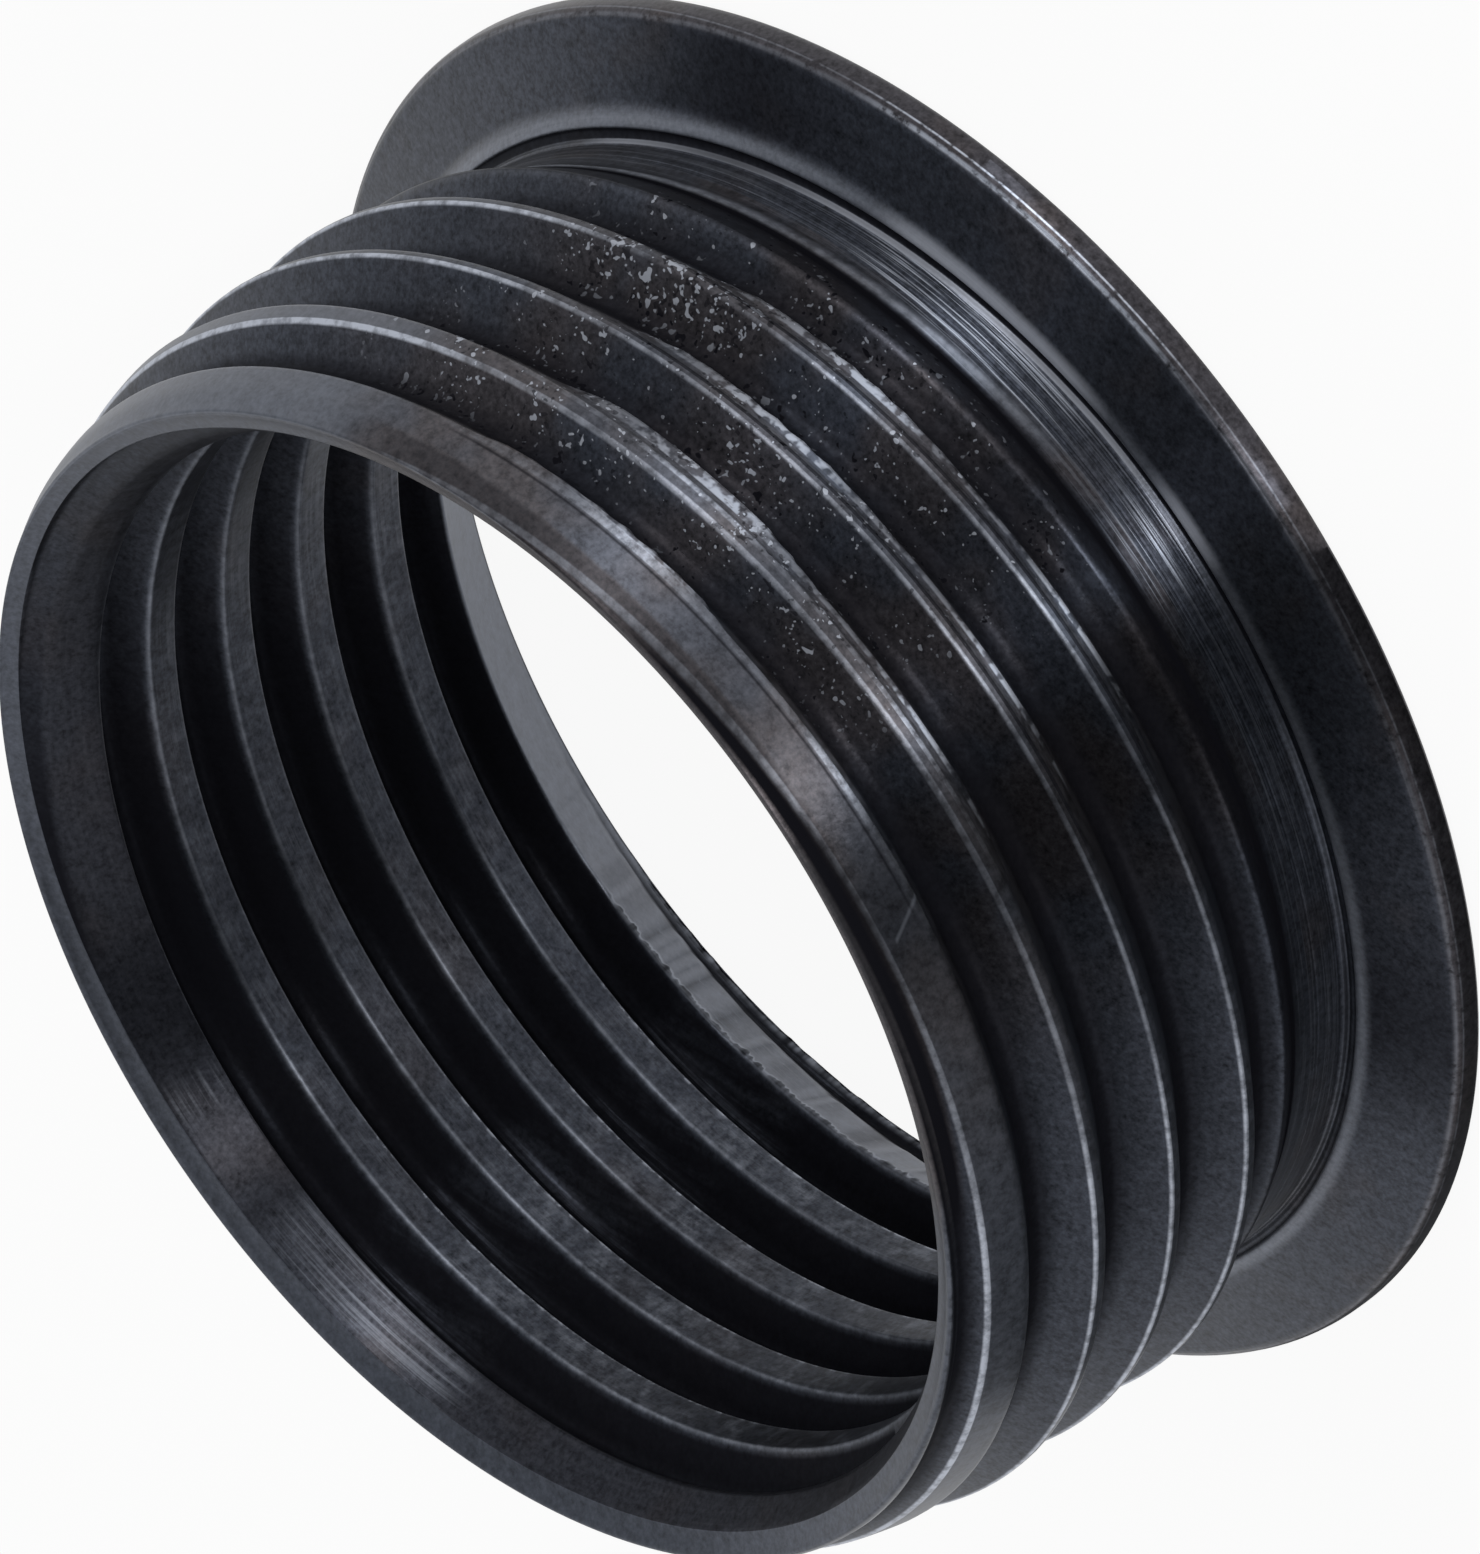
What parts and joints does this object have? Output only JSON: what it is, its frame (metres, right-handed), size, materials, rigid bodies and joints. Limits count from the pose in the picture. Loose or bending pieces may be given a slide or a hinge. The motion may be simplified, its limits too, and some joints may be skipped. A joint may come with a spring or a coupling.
{
  "type": "oxygen sensor thread insert",
  "caption": "Flanged steel thread insert: a thin sleeve with matching fine threads inside and outside, a plain neck and a conical sealing flange, used to repair a worn sensor port.",
  "frame": {"origin": "centre of the flange's flat outer face, which the insert stands on", "axes": "+Z along the thread axis from the flange towards the lead end, which is screwed in first"},
  "size_m": [0.0218, 0.0218, 0.009],
  "materials": {
    "black_steel": "black oxide on turned steel, satin, with bright worn thread edges"
  },
  "bodies": {
    "root": {"threaded_insert": "black_steel"}
  },
  "joints": []
}
